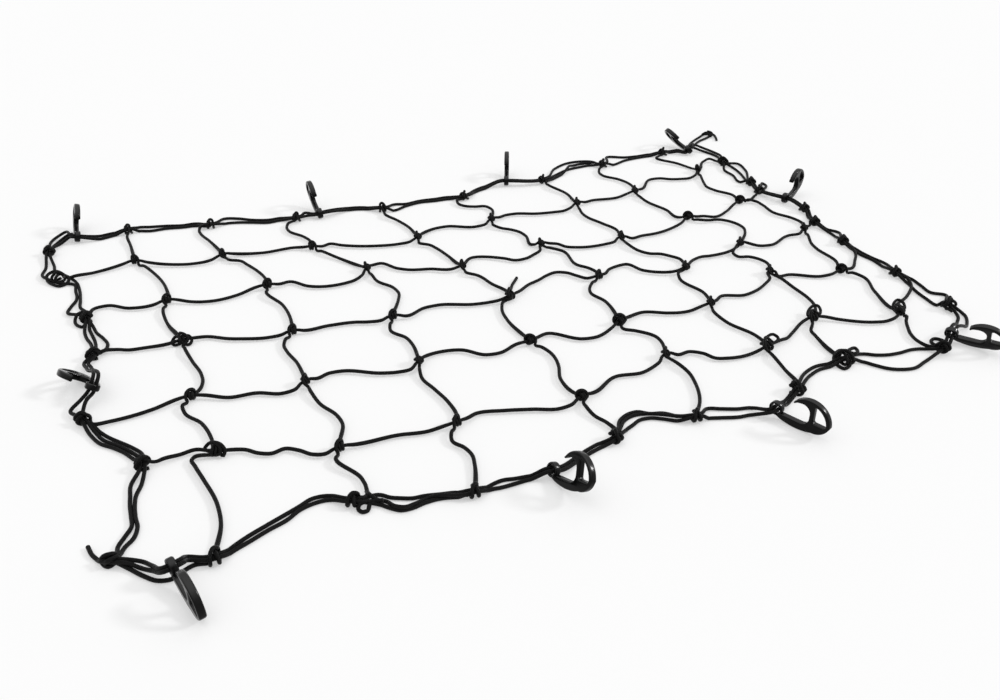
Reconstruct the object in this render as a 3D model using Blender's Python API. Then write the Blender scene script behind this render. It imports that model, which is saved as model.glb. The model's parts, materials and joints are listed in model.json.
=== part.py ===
"""Elastic cargo net, laid out slack on a floor, with ten plastic hooks round its border.

Metres, +Z up.  The long side of the net runs along X, the short side along Y (rear is +Y),
and the cords and hooks stand on Z = 0.  Layout points are in millimetres.
"""
import math

import bmesh
import bpy
import numpy as np
from mathutils import Matrix, Vector

for old in list(bpy.data.objects):
    bpy.data.objects.remove(old, do_unlink=True)

MM = 0.001

# Cord
CORD = 3.5              # diameter of the woven elastic cord
SIDES = 5               # sides of the modelled cord
FLAT = 0.1              # part of the diameter that is pressed flat where a cord bears on the floor
GAP = 0.4               # clearance between cords that touch
STEP = 38.0             # spacing of the rings along a slack stretch
STRAIGHT = 5.0          # a cord runs straight this far on both sides of a knot or an eye

# Mesh knot: the column takes one round turn about the row
TURN_STEPS = 5
TURN_PITCH = 6.2

# Border hitch: a mesh cord's end takes a turn about both border cords
HITCH_PITCH = 4.8
CORNER_EASE = 1.1       # the border cords' own hitches at the corner are slacker

# Hook, measured from the centre of its eye, +x along the shank, +y to the beak
HOOK_THICK = 6.0
HOOK_EDGE = 0.8         # chamfer along the moulded edges
EYE_PLAY = 0.5          # room in the eye round the two border cords
EYE_RING = 2.1          # wall of the eye
SHANK_TOP = -2.7
SHANK_LOW = ((7.5, -8.7), (18.7, -10.3), (28.9, -9.7))
HEAD_CENTRE = (31.6, 3.0)
HEAD_RADIUS = 20.0
HEEL_CENTRE = (36.2, 7.6)
HEEL_RADIUS = 15.6
BEAK_ANGLE = 143.0
BEAK_UNDER = ((1.1, 146.2), (2.5, 134.8))   # under side: depth below the head's edge, angle
THROAT_FACE = 31.8      # flat bearing face of the web, where a rail lies
THROAT_FACE_HIGH = 9.2
THROAT_ARC = 7.1
WEB = 4.0
WINDOW_FLOOR = 2.0
WINDOW_RIM = 3.6
WINDOW_CORNER = 1.8

R = CORD / 2
LIE = (0.5 - FLAT) * CORD
TURN_RADIUS = R + (R + GAP) / math.cos(math.pi / TURN_STEPS)
PAIR = R + GAP / 2
EYE_PAIR = R + GAP
EYE_HOLE = EYE_PAIR + R + EYE_PLAY
EYE_OUTER = EYE_HOLE + EYE_RING
HITCH_HIGH = 2 * R + GAP + 0.15
HITCH_IN = PAIR + 0.55 * R
HITCH_WIDE = PAIR + 3.05 * R
KNOT_Z = TURN_RADIUS * math.sin(math.radians(54)) + R - FLAT * CORD / 2
HITCH_Z = HITCH_HIGH + R - FLAT * CORD / 2

# Hooks: eye x, y, heading of the shank in the floor plane, lift of the shank above the floor and
# lean of the hook about its shank, to the right of the heading
HOOKS = {
    "rear_left": (-436, 321, 87, 9, 15),
    "rear_mid_left": (-155, 275, 90, 15, -6),
    "rear_mid_right": (101, 279, 65, 10, 0),
    "rear_right": (388, 281, 92, 6, -40),
    "right": (406, 82, 29, 12, 0),
    "front_right": (338, -269, 303, 1, 24),
    "front_mid_right": (100, -306, 291, 0, 0),
    "front_mid_left": (-116, -302, 281, 17, -18),
    "front_left": (-414, -303, 284, -14, 4),
    "left": (-446, -40, 104, -14, -55),
}


def eye(name):
    """Place in the border of a hook's eye."""
    return ("hook " + name, *HOOKS[name][:2], 0)


# Border, counter-clockwise from the front-left corner.  A named line is a knot or an eye, the
# others are slack points: x, y and half the distance between the outer and the inner cord.
BORDER = [
    ("corner", -456, -264, 0), ("corner tie", -445, -271, 0), ("", -434, -297, 3.8),
    eye("front_left"),
    ("front 1", -385, -292, 0), ("", -350, -276, 3), ("", -304, -257, 2.8),
    ("front 2", -275, -271, 0), ("", -258, -275, 6), ("", -238, -287, 6.5), ("", -210, -291, 2.6),
    ("front 3", -184, -299, 0), ("", -152, -296, 4),
    eye("front_mid_left"),
    ("front 4", -47, -281, 0), ("", -26, -263, 7), ("", 0, -262, 4.5),
    ("front 5", 33, -282, 0), ("", 58, -284, 7), ("", 81, -302, 4.4),
    eye("front_mid_right"),
    ("front 6", 141, -283, 0), ("", 176, -261, 3),
    ("front 7", 216, -259, 0), ("", 248, -271, 10), ("", 282, -282, 14),
    ("front 8", 317, -281, 0),
    eye("front_right"), ("", 372, -252, 4), ("", 391, -213, 10), ("", 393, -178, 6),
    ("right 5", 390, -135, 0), ("", 396, -100, 3),
    ("right 4", 391, -47, 0), ("", 400, -18, 5),
    ("right 3", 396, 11, 0), ("", 413, 50, 4),
    eye("right"),
    ("right 2", 394, 121, 0), ("", 403, 158, 10), ("", 410, 188, 16),
    ("right 1", 404, 220, 0), ("", 420, 262, 4), ("", 413, 286, 5),
    eye("rear_right"), ("", 369, 279, 3),
    ("rear 8", 353, 293, 0), ("", 318, 298, 3), ("", 280, 299, 10),
    ("rear 7", 252, 287, 0), ("", 226, 304, 9), ("", 186, 296, 10),
    ("rear 6", 150, 268, 0),
    eye("rear_mid_right"), ("", 68, 281, 3),
    ("rear 5", 32, 258, 0), ("", -32, 271, 4),
    ("rear 4", -77, 264, 0), ("", -116, 284, 2.8),
    eye("rear_mid_left"),
    ("rear 3", -184, 278, 0), ("", -224, 293, 3.5), ("", -258, 307, 6.5),
    ("rear 2", -285, 300, 0), ("", -338, 321, 4.5),
    ("rear 1", -379, 324, 0), ("", -408, 324, 4),
    eye("rear_left"), ("", -457, 330, 7), ("", -471, 280, 4),
    ("left 1", -462, 222, 0), ("", -446, 188, 2.2), ("", -449, 148, 7),
    ("left 2", -442, 116, 0), ("", -440, 82, 6),
    ("left 3", -442, 38, 0), ("", -439, 12, 3.2),
    eye("left"),
    ("left 4", -459, -71, 0), ("", -444, -108, 4), ("", -428, -133, 3),
    ("left 5", -419, -158, 0), ("", -426, -183, 3.8), ("", -432, -205, 2), ("", -435, -230, 3),
]

# Tail of the outer border cord, left long at the front-left corner: x, y, z
TAIL = [(-461, -241, 1.4), (-464, -252, 2.5)]

# Mesh knots, one line per row from the rear, columns from the left
KNOTS = [
    [(-381, 234), (-287, 210), (-187, 189), (-65, 165), (36, 178), (156, 180), (244, 185), (362, 216)],
    [(-361, 123), (-256, 115), (-145, 111), (-45, 73), (61, 89), (157, 68), (262, 86), (351, 102)],
    [(-359, 32), (-255, 6), (-153, -5), (-25, -14), (84, -11), (184, -31), (277, -3), (372, 0)],
    [(-367, -72), (-266, -89), (-158, -98), (-45, -107), (55, -108), (162, -113), (264, -77),
     (339, -107)],
    [(-361, -164), (-265, -200), (-162, -206), (-44, -214), (64, -182), (163, -209), (247, -176),
     (330, -208)],
]

# Slack of each row: points between the left border, its eight knots and the right border
ROW_SLACK = [
    [[(-420, 232)], [(-338, 214)], [(-258, 213)], [(-148, 184)], [(-14, 179)], [(90, 183)], [(190, 184)],
     [(280, 217), (318, 210)], [(388, 243)]],
    [[(-424, 144), (-399, 128)], [(-310, 112)], [(-230, 119), (-206, 99)], [(-112, 110), (-72, 79)],
     [(-22, 91), (20, 74)], [(106, 70)], [(198, 66), (231, 77)], [(312, 84)], [(374, 109)]],
    [[(-408, 41)], [(-320, 28)], [(-216, 7)], [(-88, 2)], [(10, 9), (50, 21)],
     [(128, 7), (143, -16)], [(235, -9)], [(302, -15), (346, -5)], []],
    [[(-410, -76)], [(-320, -86)], [(-222, -87)], [(-122, -89), (-88, -110)], [(-14, -106)],
     [(88, -98), (124, -111)], [(205, -100)], [(294, -95)], [(364, -97), (381, -75)]],
    [[(-396, -154)], [(-336, -170), (-296, -192)], [(-220, -199)], [(-110, -206)],
     [(-18, -205), (12, -193)], [(90, -185), (114, -204)], [(190, -203), (214, -188)],
     [(280, -201)], [(362, -184), (377, -164)]],
]

# Slack of each column: points between the rear border, its five knots and the front border
COLUMN_SLACK = [
    [[(-381, 280)], [(-365, 190)], [(-370, 90)], [(-355, -20)], [(-377, -86), (-364, -116)],
     [(-375, -204), (-372, -246)]],
    [[(-303, 282), (-294, 252)], [(-270, 178)], [(-259, 80)], [(-270, -34)],
     [(-261, -126)], [(-272, -214)]],
    [[(-201, 258), (-190, 230)], [(-166, 156)], [(-138, 54)], [(-164, -40)], [(-164, -130)],
     [(-177, -222), (-167, -246)]],
    [[(-86, 248), (-71, 224)], [(-55, 130)], [(-34, 40)], [(-44, -55)], [(-40, -152)], [(-46, -236)]],
    [[(15, 244), (44, 226)], [(37, 150), (55, 122)], [(79, 68), (80, 28)], [(70, -50)],
     [(55, -124), (67, -144)], [(66, -214), (54, -246)]],
    [[(158, 242)], [(154, 132)], [(163, 30)], [(166, -64)], [(157, -138), (163, -165)], [(158, -238)]],
    [[(236, 268), (243, 244)], [(245, 132)], [(292, 70), (303, 46)], [(258, -32)], [(261, -122)],
     [(226, -200), (220, -228)]],
    [[(339, 282), (356, 250)], [(352, 190), (343, 158), (348, 134)], [(363, 76)],
     [(360, -36), (347, -72)], [(345, -130), (332, -180)], [(311, -244)]],
]


def unit(v):
    return v / np.linalg.norm(v)


def smooth(points, step):
    """Rings along a curve through the points, with its tangents from the neighbouring points."""
    p = [np.array(q, dtype=float) for q in points]
    n = len(p)
    t = [0.0]
    for a, b in zip(p, p[1:]):
        t.append(t[-1] + np.linalg.norm(b - a))
    slope = []
    for i in range(n):
        a, b = max(i - 1, 0), min(i + 1, n - 1)
        slope.append((p[b] - p[a]) / (t[b] - t[a]))
    out = []
    for i in range(n - 1):
        length = t[i + 1] - t[i]
        parts = max(1, round(length / step))
        for k in range(parts):
            s = k / parts
            h = p[i] * (2 * s**3 - 3 * s**2 + 1) + p[i + 1] * (3 * s**2 - 2 * s**3)
            h = h + length * (slope[i] * (s**3 - 2 * s**2 + s) + slope[i + 1] * (s**3 - s**2))
            h[2] = max(h[2], LIE)
            out.append(h)
    out.append(p[-1])
    return out


def tube(points):
    """Closed mesh of a cord along the points, pressed flat on the floor."""
    p = [np.array(q) for q in points]
    n = len(p)
    way = []
    for i in range(n):
        before = unit(p[i] - p[i - 1]) if i > 0 else unit(p[1] - p[0])
        after = unit(p[i + 1] - p[i]) if i < n - 1 else before
        way.append(unit(before + after))
    side = unit(np.cross(way[0], (0.0, 0.0, 1.0)))
    mesh = bmesh.new()
    rings = []
    for i in range(n):
        side = unit(side - way[i] * np.dot(side, way[i]))
        up = np.cross(side, way[i])
        ring = []
        for k in range(SIDES):
            turn = 2 * math.pi * (k + 0.75) / SIDES
            v = p[i] + R * (math.cos(turn) * side + math.sin(turn) * up)
            v[2] = max(v[2], 0.0)
            ring.append(mesh.verts.new(Vector(v) * MM))
        rings.append(ring)
    for a, b in zip(rings, rings[1:]):
        for k in range(SIDES):
            j = (k + 1) % SIDES
            mesh.faces.new((a[k], b[k], b[j], a[j]))
    mesh.faces.new(rings[0])
    mesh.faces.new(list(reversed(rings[-1])))
    bmesh.ops.recalc_face_normals(mesh, faces=mesh.faces)
    return mesh


def least_gap(points):
    """Least clearance of a cord to itself, from points taken every millimetre along it."""
    fine = []
    for a, b in zip(points, points[1:]):
        parts = max(1, int(np.linalg.norm(b - a)))
        fine += [a + (b - a) * k / parts for k in range(parts)]
    fine = np.array(fine)
    run = np.concatenate([[0.0], np.cumsum(np.linalg.norm(np.diff(fine, axis=0), axis=1))])
    best = 1e9
    for i in range(len(fine)):
        far = run - run[i] > 4 * CORD
        if far.any():
            best = min(best, np.linalg.norm(fine[far] - fine[i], axis=1).min())
    return best - CORD


def material(name, colour, rough):
    made = bpy.data.materials.new(name)
    made.use_nodes = True
    surface = made.node_tree.nodes["Principled BSDF"]
    surface.inputs["Base Color"].default_value = (*colour, 1.0)
    surface.inputs["Roughness"].default_value = rough
    surface.inputs["Metallic"].default_value = 0.0
    return made


def finished(name, mesh, look, sharp):
    """Mesh data with its material, smooth except along edges sharper than the angle."""
    data = bpy.data.meshes.new(name)
    mesh.to_mesh(data)
    mesh.free()
    data.materials.append(look)
    data.shade_smooth()
    data.set_sharp_from_angle(angle=math.radians(sharp))
    return data


def place(name, data):
    obj = bpy.data.objects.new(name, data)
    bpy.context.collection.objects.link(obj)
    obj.parent = layout
    return obj


def cord_piece(name, route):
    """One cord along its route, with its length and its least gap to itself printed."""
    place(name, finished(name, tube(route), cord_black, 80))
    length = sum(np.linalg.norm(b - a) for a, b in zip(route, route[1:]))
    print(name, "length", round(length), "mm, least gap to itself", round(least_gap(route), 2), "mm")


def at_angle(centre, radius, degrees):
    a = math.radians(degrees)
    return (centre[0] + radius * math.cos(a), centre[1] + radius * math.sin(a))


def arc(centre, radius, start, stop, parts):
    """Points of an arc, angles in degrees, both ends included."""
    turn = (stop - start) / parts
    return [at_angle(centre, radius, start + turn * k) for k in range(parts + 1)]


def hook_outline():
    """Outer edge of the hook, counter-clockwise from the top of the shank."""
    top = math.degrees(math.asin(SHANK_TOP / EYE_OUTER))
    edge = arc((0, 0), EYE_OUTER, top, 281, 11)
    edge += SHANK_LOW
    edge += arc(HEEL_CENTRE, HEEL_RADIUS, -90, -30, 3)
    edge += arc(HEAD_CENTRE, HEAD_RADIUS, 0, BEAK_ANGLE, 11)
    edge += [at_angle(HEAD_CENTRE, HEAD_RADIUS - depth, angle) for depth, angle in BEAK_UNDER]
    high = (THROAT_FACE - THROAT_ARC, THROAT_FACE_HIGH)
    low = (THROAT_FACE - THROAT_ARC, SHANK_TOP + THROAT_ARC)
    edge += arc(high, THROAT_ARC, 100, 0, 4)
    edge += arc(low, THROAT_ARC, 0, -90, 4)
    return edge


def window_outline():
    """Opening of the hook's head: two straight sides and the inside of the rim."""
    rim = HEAD_RADIUS - WINDOW_RIM
    c = WINDOW_CORNER
    left = THROAT_FACE + WEB
    low = WINDOW_FLOOR + c
    reach = rim - c
    right_x = HEAD_CENTRE[0] + math.sqrt(reach**2 - (low - HEAD_CENTRE[1]) ** 2)
    top_y = HEAD_CENTRE[1] + math.sqrt(reach**2 - (left + c - HEAD_CENTRE[0]) ** 2)
    first = math.degrees(math.atan2(low - HEAD_CENTRE[1], right_x - HEAD_CENTRE[0]))
    last = math.degrees(math.atan2(top_y - HEAD_CENTRE[1], left + c - HEAD_CENTRE[0]))
    edge = arc((left + c, low), c, 180, 270, 2)
    edge += arc((right_x, low), c, 270, 360 + first, 2)
    edge += arc(HEAD_CENTRE, rim, first + 16, last - 16, 2)
    edge += arc((left + c, top_y), c, last, 180, 2)
    return edge


def hook_mesh():
    """Flat moulded hook: outline, eye and window, with chamfered edges."""
    shape = bpy.data.curves.new("hook_shape", "CURVE")
    shape.dimensions = "2D"
    shape.fill_mode = "BOTH"
    shape.extrude = (HOOK_THICK / 2 - HOOK_EDGE) * MM
    shape.bevel_depth = HOOK_EDGE * MM
    shape.bevel_resolution = 0
    shape.offset = -HOOK_EDGE * MM
    for edge in (hook_outline(), arc((0, 0), EYE_HOLE, 0, 337.5, 15), window_outline()):
        line = shape.splines.new("POLY")
        line.points.add(len(edge) - 1)
        for point, (x, y) in zip(line.points, edge):
            point.co = (x * MM, y * MM, 0.0, 1.0)
        line.use_cyclic_u = True
    holder = bpy.data.objects.new("hook_shape", shape)
    bpy.context.collection.objects.link(holder)
    bpy.context.view_layer.update()
    ready = holder.evaluated_get(bpy.context.evaluated_depsgraph_get())
    data = bpy.data.meshes.new_from_object(ready)
    bpy.data.objects.remove(holder, do_unlink=True)
    mesh = bmesh.new()
    mesh.from_mesh(data)
    bmesh.ops.remove_doubles(mesh, verts=mesh.verts, dist=0.00001)
    bmesh.ops.recalc_face_normals(mesh, faces=mesh.faces)
    return mesh


def hook_axes(heading, lift, lean):
    """Directions of a hook's shank, of its beak and of the axis of its eye."""
    a, b, c = math.radians(heading), math.radians(lift), math.radians(lean)
    level = np.array([math.cos(a), math.sin(a), 0.0])
    side = np.array([math.sin(a), -math.cos(a), 0.0])
    shank = level * math.cos(b) + np.array([0.0, 0.0, math.sin(b)])
    up = np.cross(side, shank)
    return shank, up * math.cos(c) + side * math.sin(c), side * math.cos(c) - up * math.sin(c)


def eye_height(heading, lift, lean):
    """Height of the eye's centre when the lowest point of the hook stands on the floor."""
    shank, beak, axis = hook_axes(heading, lift, lean)
    return HOOK_THICK / 2 * abs(axis[2]) - min(x * shank[2] + y * beak[2] for x, y in hook_outline())


layout = bpy.data.objects.new("layout", None)
bpy.context.collection.objects.link(layout)

cord_black = material("woven_elastic_black", (0.012, 0.012, 0.013), 0.75)
hook_black = material("moulded_plastic_black", (0.02, 0.02, 0.021), 0.42)

# Stations of the border: place, direction of travel and height of the two cords there
count = len(BORDER)
station = {}
travel = []
outward = []
for i, (name, x, y, spread) in enumerate(BORDER):
    last, following = BORDER[i - 1], BORDER[(i + 1) % count]
    along = unit(np.array([following[1] - last[1], following[2] - last[2], 0.0]))
    out = np.array([along[1], -along[0], 0.0])
    height = HITCH_Z if name else LIE
    if name.startswith("hook"):
        stance = HOOKS[name[5:]][2:]
        along = -hook_axes(*stance)[2]
        height = eye_height(*stance)
    if name.startswith("corner"):
        along = unit(np.array([BORDER[1][1] - BORDER[0][1], BORDER[1][2] - BORDER[0][2], 0.0]))
    travel.append(along)
    outward.append(unit(out - along * np.dot(out, along)))
    if name:
        station[name] = (np.array([x, y, height]), along)


def border_route(outer):
    """Points of the outer or the inner border cord, once round from the front-left corner."""
    points = []
    for (name, x, y, spread), along, side in zip(BORDER, travel, outward):
        out = side if outer else -side
        if name:
            here = station[name][0] + out * (EYE_PAIR if name.startswith("hook") else PAIR)
            points += [here - along * STRAIGHT, here + along * STRAIGHT]
        else:
            points.append(np.array([x, y, LIE]) + out * spread)
    return points


def hitch(name, source, ease=1.0):
    """Turn of a cord about both border cords, from its arrival on top to its end."""
    centre, along = station[name]
    inward = np.array([-along[1], along[0], 0.0])
    hand = 1 if np.dot(np.array([*source[:2], 0.0]) - centre, along) < 0 else -1
    ring = [(HITCH_IN, HITCH_HIGH), (-HITCH_IN, HITCH_HIGH), (-HITCH_WIDE, 0.0),
            (-HITCH_IN, -HITCH_HIGH), (HITCH_IN, -HITCH_HIGH), (HITCH_WIDE + 0.3, 0.3)]
    points = []
    for k, (n, z) in enumerate(ring):
        a = hand * HITCH_PITCH * (k / (len(ring) - 1) - 0.5)
        points.append(centre + along * a + (inward * n + np.array([0.0, 0.0, z])) * ease)
    return points


def row_route(row):
    slack = ROW_SLACK[row]
    left = hitch(f"left {row + 1}", slack[0][0])
    right = hitch(f"right {row + 1}", (slack[8] or KNOTS[row][-1:])[-1])
    control = [left[0]]
    for stretch, knot in zip(slack, KNOTS[row] + [None]):
        control += [np.array([x, y, LIE]) for x, y in stretch]
        if knot is not None:
            control.append(np.array([*knot, KNOT_Z]))
    control.append(right[0])
    route, places = [], {}
    for i, here in enumerate(control):
        if 0 < i < len(control) - 1 and here[2] == KNOT_Z:
            along = control[i + 1] - control[i - 1]
            along[2] = 0.0
            along = unit(along)
            places[len(places)] = (here, along)
            route += [here - along * STRAIGHT, here + along * STRAIGHT]
        else:
            route.append(here)
    return list(reversed(left[1:])) + smooth(route, STEP) + right[1:], places


def column_route(column, places):
    slack = COLUMN_SLACK[column]
    rear = hitch(f"rear {column + 1}", slack[0][0])
    front = hitch(f"front {column + 1}", slack[5][-1])
    route = list(reversed(rear[1:]))
    control = [rear[0]]
    for row in range(5):
        here, along = places[row][column]
        back = np.array([-along[1], along[0], 0.0])
        control += [np.array([x, y, LIE]) for x, y in slack[row]]
        after = slack[row + 1][0]
        coming = unit((control[-1] - here) * (1, 1, 0))
        leaving = unit(np.array([*after, KNOT_Z]) - here)
        hand = 1 if np.dot(leaving - coming, along) > 0 else -1
        turn = []
        for k in range(TURN_STEPS + 1):
            s = k / TURN_STEPS
            angle = math.radians(90) + 2 * math.pi * s
            ring = back * math.cos(angle) + np.array([0.0, 0.0, math.sin(angle)])
            turn.append(here + along * hand * TURN_PITCH * (s - 0.5) + ring * TURN_RADIUS)
        control.append(turn[0])
        route += smooth(control, STEP) + turn[1:-1]
        control = [turn[-1]]
    control += [np.array([x, y, LIE]) for x, y in slack[5]]
    control.append(front[0])
    return route + smooth(control, STEP) + front[1:]


rows = []
for row in range(5):
    route, places = row_route(row)
    rows.append(places)
    cord_piece(f"row_cord_{row + 1}", route)

for column in range(8):
    cord_piece(f"column_cord_{column + 1}", column_route(column, rows))

for outer, name in ((True, "border_cord_outer"), (False, "border_cord_inner")):
    control = border_route(outer)
    if outer:
        ending = hitch("corner", control[-1], CORNER_EASE)
        control = [np.array(p) for p in TAIL] + control + [ending[0]]
    else:
        ending = hitch("corner tie", control[-1], CORNER_EASE)
        control = control + [ending[0]]
    cord_piece(name, smooth(control, STEP) + ending[1:])

hook_data = finished("hook", hook_mesh(), hook_black, 35)
for name, (x, y, *stance) in HOOKS.items():
    frame = Matrix([Vector(way) for way in hook_axes(*stance)]).transposed().to_4x4()
    frame.translation = Vector((x, y, eye_height(*stance))) * MM
    place(f"hook_{name}", hook_data).matrix_local = frame

# The origin is under the middle of the laid-out net
bpy.context.view_layer.update()
low, high = [1e9, 1e9], [-1e9, -1e9]
for obj in layout.children:
    for v in obj.data.vertices:
        at = obj.matrix_world @ v.co
        for k in range(2):
            low[k] = min(low[k], at[k])
            high[k] = max(high[k], at[k])
layout.location = (-(low[0] + high[0]) / 2, -(low[1] + high[1]) / 2, 0.0)
bpy.context.view_layer.update()
print("layout moved by", [round(c / MM, 3) for c in layout.location])
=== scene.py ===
"""Black elastic cargo net with ten moulded hooks, laid out slack on a white floor."""
import json
import math

import bmesh
import bpy
import numpy as np
from mathutils import Matrix, Vector


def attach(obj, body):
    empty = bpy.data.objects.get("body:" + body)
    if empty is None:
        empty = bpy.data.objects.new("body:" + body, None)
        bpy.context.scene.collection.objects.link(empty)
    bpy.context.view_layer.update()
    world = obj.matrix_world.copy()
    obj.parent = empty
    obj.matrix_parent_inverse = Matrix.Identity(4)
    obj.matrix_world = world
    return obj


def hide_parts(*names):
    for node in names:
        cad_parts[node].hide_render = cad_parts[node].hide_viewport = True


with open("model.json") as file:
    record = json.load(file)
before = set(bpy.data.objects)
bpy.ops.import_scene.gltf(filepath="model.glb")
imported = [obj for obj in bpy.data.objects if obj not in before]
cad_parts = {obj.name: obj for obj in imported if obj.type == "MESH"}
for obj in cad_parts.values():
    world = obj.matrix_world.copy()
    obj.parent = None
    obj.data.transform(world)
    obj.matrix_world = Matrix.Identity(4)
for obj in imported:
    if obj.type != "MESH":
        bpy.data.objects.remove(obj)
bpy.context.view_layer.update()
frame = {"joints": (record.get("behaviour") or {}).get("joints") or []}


# Camera: stands off the front-left corner and looks down across the net at about 31 degrees,
# through a lens as long as its sensor is wide.
def placed(name, data):
    """A new object in the scene."""
    made = bpy.data.objects.new(name, data)
    bpy.context.scene.collection.objects.link(made)
    return made


camera = placed("camera", bpy.data.cameras.new("camera"))
camera.data.lens = 36.0
camera.data.sensor_width = 36.0
camera.location = (-0.3993, -0.8777, 0.51)
looking = Vector((0.3431, 0.7816, -0.5210))
camera.rotation_euler = looking.to_track_quat("-Z", "Y").to_euler()
bpy.context.scene.camera = camera

# Border: two strands of elastic cord, a bundle of rubber threads in a woven black sheath, run
# side by side right round the net.  They pass through the eyes of the hooks, the mesh cords are
# hitched round them, and their ends are tied off at the front-left corner.
MM = 0.001
middle = np.array([12.998, -8.231, 0.0])    # takes a place on the net, in mm, to the frame
cord_thick = 3.5
pressed = 0.9            # share of its thickness that a cord keeps where a knot pulls it tight
lying = cord_thick / 2   # height of a cord on the floor
strand_apart = cord_thick + 0.1         # middles of two strands side by side
eye_apart = 2.15         # of each strand from the middle of a hook's eye
knotted_high = 5.2       # height of the border in a knot, with a turn of cord under it
knot_half = 5.0          # half the length of a strand or a row inside a knot

# From the front-left corner, counter-clockwise: the eye of a hook, the name and place of a knot,
# or the outer and the inner strand's place on a slack stretch, with a height where it is raised.
border = [
    ("corner", -455, -265),
    ("corner tie", -446, -270), (-436, -279, -434, -273, 3), (-428, -290, -427, -285, 6.5),
    ("eye", "front_left"), (-401, -289, -402, -285, 5.6),
    ("front 1", -385, -292), (-373, -289, -373, -285), (-357, -282, -357, -276),
    (-341, -275, -343, -270), (-327, -270, -326, -263), (-314, -262, -314, -258),
    (-303, -259, -303, -253), (-290, -260, -289, -255),
    ("front 2", -275, -271), (-256, -281, -252, -270), (-250, -288, -246, -276),
    (-243, -294, -239, -280), (-234, -295, -230, -284), (-223, -293, -221, -285),
    (-211, -293, -209, -288), (-197, -297, -195, -292),
    ("front 3", -184, -299), (-171, -299, -171, -295), (-160, -300, -156, -292),
    (-149, -300, -147, -294), (-136, -300, -134, -296),
    ("eye", "front_mid_left"), (-87, -293, -86, -288), (-73, -288, -73, -283),
    (-61, -285, -60, -280),
    ("front 4", -47, -281), (-31, -272, -27, -256), (-22, -268, -18, -252), (-13, -264, -9, -252),
    (-3, -265, 0, -259), (7, -271, 11, -263), (16, -278, 20, -272),
    ("front 5", 33, -282), (44, -286, 51, -273), (55, -290, 62, -278), (69, -295, 75, -284),
    (82, -297, 88, -288),
    ("eye", "front_mid_right"), (122, -295, 125, -289),
    ("front 6", 141, -283), (172, -265, 169, -260), (185, -261, 185, -255), (197, -261, 199, -256),
    ("front 7", 216, -259), (231, -266, 241, -255), (238, -276, 252, -262), (246, -286, 262, -266),
    (256, -292, 276, -268), (268, -295, 291, -268), (287, -290, 303, -272),
    ("front 8", 317, -281),
    ("eye", "front_right"), (377, -253, 372, -245), (391, -234, 382, -236),
    ("tie front right", 388, -216), (405, -195, 380, -209), (395, -185, 380, -194),
    (397, -167, 382, -178), (398, -149, 388, -155),
    ("right 5", 390, -135), (399, -109, 391, -114), (396, -95, 392, -97), (394, -78, 389, -80),
    (394, -62, 390, -63),
    ("right 4", 391, -47), (406, -20, 395, -29), (400, -10, 396, -16),
    ("right 3", 396, 11), (408, 33, 403, 32),
    ("tie right", 411, 50),
    ("eye", "right"),
    ("right 2", 394, 121),
    ("tie rear right", 401, 149), (409, 165, 393, 160), (425, 194, 398, 186),
    (428, 217, 397, 203, 2.5),
    ("right 1", 410, 226), (425, 256, 418, 252, 2.5), (425, 271, 417, 268),
    (420, 288, 411, 281, 2.5), (412, 299, 404, 290, 5),
    ("eye", "rear_right"), (379, 294, 375, 288, 4), (368, 300, 365, 295),
    ("rear 8", 353, 293), (336, 300, 333, 294), (315, 301, 312, 295), (297, 304, 291, 293),
    (275, 315, 268, 285),
    ("rear 7", 252, 287), (246, 307, 239, 295), (231, 315, 221, 296), (211, 316, 202, 294),
    (187, 305, 179, 284),
    ("rear 6", 150, 268),
    ("eye", "rear_mid_right"), (72, 284, 69, 277), (54, 277, 53, 271),
    ("rear 5", 32, 258), (16, 269, 14, 263), (-4, 271, -6, 265), (-24, 273, -25, 268),
    (-45, 271, -46, 264), (-58, 275, -65, 257),
    ("rear 4", -77, 264), (-92, 279, -94, 274), (-113, 287, -115, 281),
    ("eye", "rear_mid_left"), (-170, 292, -168, 282, 3),
    ("rear 3", -184, 278), (-198, 290, -200, 284), (-217, 292, -218, 284), (-235, 300, -236, 292),
    (-250, 311, -252, 299), (-265, 317, -267, 302),
    ("rear 2", -285, 300), (-299, 316, -300, 309), (-317, 318, -318, 312), (-334, 324, -335, 316),
    (-353, 329, -355, 317), (-367, 333, -367, 322),
    ("rear 1", -379, 324), (-394, 328, -394, 321), (-410, 326, -411, 317),
    ("eye", "rear_left"), (-449, 344, -445, 327, 6), (-459, 340, -454, 321, 3),
    ("tie rear left", -469, 298), (-475, 260, -466, 262), (-479, 238, -465, 243, 3),
    (-472, 224, -459, 233, 3.5), (-463, 213, -453, 225, 3), (-449, 206, -446, 210),
    (-448, 188, -444, 188), (-449, 166, -445, 163), (-455, 153, -446, 147), (-459, 142, -441, 134),
    ("left 2", -442, 116), (-446, 92, -441, 95), (-445, 78, -440, 86), (-442, 64, -438, 69),
    ("left 3", -442, 38), (-450, 28, -446, 28, 4), (-449, 10, -445, 10, 7),
    ("eye", "left"), (-457, -44, -453, -47, 8.5), (-468, -52, -458, -57, 3.5),
    ("left 4", -459, -71), (-455, -94, -451, -91), (-448, -111, -445, -107),
    (-439, -121, -437, -117), (-431, -132, -429, -128), (-425, -144, -422, -140),
    ("left 5", -419, -158), (-431, -179, -423, -181), (-433, -193, -429, -195),
    (-434, -204, -431, -204), (-435, -218, -432, -220), (-436, -230, -432, -233),
    (-442, -240, -436, -244), (-448, -250, -444, -253),
]
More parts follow.
